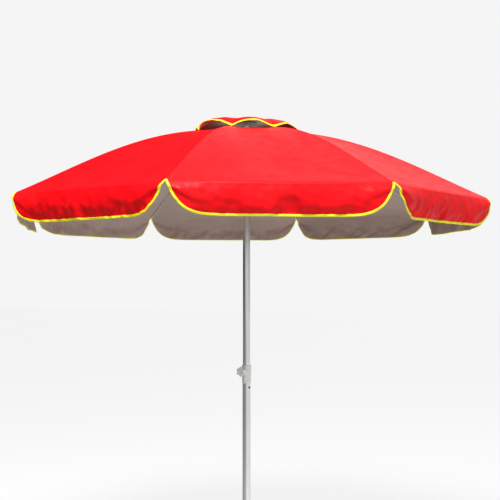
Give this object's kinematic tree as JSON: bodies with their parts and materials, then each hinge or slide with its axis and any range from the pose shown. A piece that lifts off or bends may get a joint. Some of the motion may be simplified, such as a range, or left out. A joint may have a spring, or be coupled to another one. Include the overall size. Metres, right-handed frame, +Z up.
{
  "type": "beach umbrella",
  "caption": "Open beach umbrella: vented octagonal cloth canopy with a notched valance on folding ribs, and a two-section tube pole with a screw clamp.",
  "frame": {"origin": "the blunt point of the sand spike, on the pole's axis", "axes": "+Z up along the pole; +X towards the first rib, with a rib every 45 degrees; the clamp knob is on the -Y side"},
  "size_m": [2.06, 2.06, 2.179],
  "materials": {
    "pole_tube": "satin anodised",
    "steel": "zinc plated",
    "stretcher_rod": "satin powder coat",
    "rib_rod": "pultruded glass fibre rod, satin",
    "white_plastic": "moulded, satin",
    "taupe_plastic": "moulded, satin",
    "dark_plastic": "moulded, satin",
    "canopy_cloth": "red satin polyester, grey coated underside, yellow bound edges"
  },
  "bodies": {
    "lower_pole": {"lower_tube": "pole_tube", "sand_spike": "white_plastic", "hole_plug": "dark_plastic", "collar_body": "white_plastic", "clamp_nut": "steel", "collar_screw": "steel"},
    "clamp_screw": {"clamp_screw": "steel"},
    "clamp_knob": {"clamp_knob": "white_plastic"},
    "pole_plug": {"upper_tube_plug": "dark_plastic"},
    "upper_pole": {"upper_tube": "pole_tube", "top_hub": "white_plastic", "hub_ring": "steel", "crown_cap": "taupe_plastic", "vent_cap": "canopy_cloth", "catch_spring": "steel"},
    "catch_button": {"catch_button": "steel"},
    "runner": {"runner_body": "white_plastic", "runner_ring": "steel"},
    "rib_1": {"rib_1": "rib_rod", "rib_clip_1": "white_plastic", "rib_tip_1": "white_plastic", "canopy_sector_1": "canopy_cloth"},
    "stretcher_1": {"stretcher_1": "stretcher_rod"},
    "rib_2": {"rib_2": "rib_rod", "rib_clip_2": "white_plastic", "rib_tip_2": "white_plastic", "canopy_sector_2": "canopy_cloth"},
    "stretcher_2": {"stretcher_2": "stretcher_rod"},
    "rib_3": {"rib_3": "rib_rod", "rib_clip_3": "white_plastic", "rib_tip_3": "white_plastic", "canopy_sector_3": "canopy_cloth"},
    "stretcher_3": {"stretcher_3": "stretcher_rod"},
    "rib_4": {"rib_4": "rib_rod", "rib_clip_4": "white_plastic", "rib_tip_4": "white_plastic", "canopy_sector_4": "canopy_cloth"},
    "stretcher_4": {"stretcher_4": "stretcher_rod"},
    "rib_5": {"rib_5": "rib_rod", "rib_clip_5": "white_plastic", "rib_tip_5": "white_plastic", "canopy_sector_5": "canopy_cloth"},
    "stretcher_5": {"stretcher_5": "stretcher_rod"},
    "rib_6": {"rib_6": "rib_rod", "rib_clip_6": "white_plastic", "rib_tip_6": "white_plastic", "canopy_sector_6": "canopy_cloth"},
    "stretcher_6": {"stretcher_6": "stretcher_rod"},
    "rib_7": {"rib_7": "rib_rod", "rib_clip_7": "white_plastic", "rib_tip_7": "white_plastic", "canopy_sector_7": "canopy_cloth"},
    "stretcher_7": {"stretcher_7": "stretcher_rod"},
    "rib_8": {"rib_8": "rib_rod", "rib_clip_8": "white_plastic", "rib_tip_8": "white_plastic", "canopy_sector_8": "canopy_cloth"},
    "stretcher_8": {"stretcher_8": "stretcher_rod"}
  },
  "joints": [
    {"name": "knob_turn", "type": "hinge", "parent": "clamp_screw", "child": "clamp_knob", "pos_m": [-0.0131, -0.04096, 1.088], "axis": [-0.3047, -0.9524, 0], "range_deg": [0, 720]},
    {"name": "screw_travel", "type": "slide", "parent": "lower_pole", "child": "clamp_screw", "axis": [-0.3047, -0.9524, 0], "range_m": [0, 0.00251]},
    {"name": "pole_telescope", "type": "slide", "parent": "lower_pole", "child": "pole_plug", "axis": [0, 0, 1], "range_m": [-0.2, 0.06]},
    {"name": "pole_swivel", "type": "hinge", "parent": "pole_plug", "child": "upper_pole", "pos_m": [0, 0, 1], "axis": [0, 0, 1], "continuous": true},
    {"name": "runner_slide", "type": "slide", "parent": "upper_pole", "child": "runner", "axis": [0, 0, 1], "range_m": [-0.5505, 0], "deforming": ["canopy_sector_1", "canopy_sector_2", "canopy_sector_3", "canopy_sector_4", "canopy_sector_5", "canopy_sector_6", "canopy_sector_7", "canopy_sector_8", "vent_cap"]},
    {"name": "catch_press", "type": "slide", "parent": "upper_pole", "child": "catch_button", "axis": [0.3827, -0.9239, 0], "range_m": [-0.0035, 0], "stiffness_N_per_m": 800, "deforming": ["catch_spring"]},
    {"name": "rib_hinge_1", "type": "hinge", "parent": "upper_pole", "child": "rib_1", "pos_m": [0.024, 0, 2.13026], "axis": [0, 1, 0], "range_deg": [0, 68.52]},
    {"name": "stretcher_hinge_1", "type": "hinge", "parent": "runner", "child": "stretcher_1", "pos_m": [0.027, 0, 1.92062], "axis": [0, 1, 0], "range_deg": [-56.15, 0]},
    {"name": "rib_hinge_2", "type": "hinge", "parent": "upper_pole", "child": "rib_2", "pos_m": [0.01697, 0.01697, 2.13026], "axis": [-0.7071, 0.7071, 0], "range_deg": [0, 68.52]},
    {"name": "stretcher_hinge_2", "type": "hinge", "parent": "runner", "child": "stretcher_2", "pos_m": [0.01909, 0.01909, 1.92062], "axis": [-0.7071, 0.7071, 0], "range_deg": [-56.15, 0]},
    {"name": "rib_hinge_3", "type": "hinge", "parent": "upper_pole", "child": "rib_3", "pos_m": [0, 0.024, 2.13026], "axis": [-1, 0, 0], "range_deg": [0, 68.52]},
    {"name": "stretcher_hinge_3", "type": "hinge", "parent": "runner", "child": "stretcher_3", "pos_m": [0, 0.027, 1.92062], "axis": [-1, 0, 0], "range_deg": [-56.15, 0]},
    {"name": "rib_hinge_4", "type": "hinge", "parent": "upper_pole", "child": "rib_4", "pos_m": [-0.01697, 0.01697, 2.13026], "axis": [-0.7071, -0.7071, 0], "range_deg": [0, 68.52]},
    {"name": "stretcher_hinge_4", "type": "hinge", "parent": "runner", "child": "stretcher_4", "pos_m": [-0.01909, 0.01909, 1.92062], "axis": [-0.7071, -0.7071, 0], "range_deg": [-56.15, 0]},
    {"name": "rib_hinge_5", "type": "hinge", "parent": "upper_pole", "child": "rib_5", "pos_m": [-0.024, 0, 2.13026], "axis": [0, -1, 0], "range_deg": [0, 68.52]},
    {"name": "stretcher_hinge_5", "type": "hinge", "parent": "runner", "child": "stretcher_5", "pos_m": [-0.027, 0, 1.92062], "axis": [0, -1, 0], "range_deg": [-56.15, 0]},
    {"name": "rib_hinge_6", "type": "hinge", "parent": "upper_pole", "child": "rib_6", "pos_m": [-0.01697, -0.01697, 2.13026], "axis": [0.7071, -0.7071, 0], "range_deg": [0, 68.52]},
    {"name": "stretcher_hinge_6", "type": "hinge", "parent": "runner", "child": "stretcher_6", "pos_m": [-0.01909, -0.01909, 1.92062], "axis": [0.7071, -0.7071, 0], "range_deg": [-56.15, 0]},
    {"name": "rib_hinge_7", "type": "hinge", "parent": "upper_pole", "child": "rib_7", "pos_m": [0, -0.024, 2.13026], "axis": [1, 0, 0], "range_deg": [0, 68.52]},
    {"name": "stretcher_hinge_7", "type": "hinge", "parent": "runner", "child": "stretcher_7", "pos_m": [0, -0.027, 1.92062], "axis": [1, 0, 0], "range_deg": [-56.15, 0]},
    {"name": "rib_hinge_8", "type": "hinge", "parent": "upper_pole", "child": "rib_8", "pos_m": [0.01697, -0.01697, 2.13026], "axis": [0.7071, 0.7071, 0], "range_deg": [0, 68.52]},
    {"name": "stretcher_hinge_8", "type": "hinge", "parent": "runner", "child": "stretcher_8", "pos_m": [0.01909, -0.01909, 1.92062], "axis": [0.7071, 0.7071, 0], "range_deg": [-56.15, 0]}
  ],
  "couplings": [
    {"joint": "screw_travel", "follows": "knob_turn", "m_per_rad": 0.00019894},
    {"joint": "rib_hinge_1", "follows": "runner_slide", "rad_per_m": -2.172},
    {"joint": "stretcher_hinge_1", "follows": "runner_slide", "rad_per_m": 1.7799},
    {"joint": "rib_hinge_2", "follows": "runner_slide", "rad_per_m": -2.172},
    {"joint": "stretcher_hinge_2", "follows": "runner_slide", "rad_per_m": 1.7799},
    {"joint": "rib_hinge_3", "follows": "runner_slide", "rad_per_m": -2.172},
    {"joint": "stretcher_hinge_3", "follows": "runner_slide", "rad_per_m": 1.7799},
    {"joint": "rib_hinge_4", "follows": "runner_slide", "rad_per_m": -2.172},
    {"joint": "stretcher_hinge_4", "follows": "runner_slide", "rad_per_m": 1.7799},
    {"joint": "rib_hinge_5", "follows": "runner_slide", "rad_per_m": -2.172},
    {"joint": "stretcher_hinge_5", "follows": "runner_slide", "rad_per_m": 1.7799},
    {"joint": "rib_hinge_6", "follows": "runner_slide", "rad_per_m": -2.172},
    {"joint": "stretcher_hinge_6", "follows": "runner_slide", "rad_per_m": 1.7799},
    {"joint": "rib_hinge_7", "follows": "runner_slide", "rad_per_m": -2.172},
    {"joint": "stretcher_hinge_7", "follows": "runner_slide", "rad_per_m": 1.7799},
    {"joint": "rib_hinge_8", "follows": "runner_slide", "rad_per_m": -2.172},
    {"joint": "stretcher_hinge_8", "follows": "runner_slide", "rad_per_m": 1.7799}
  ]
}
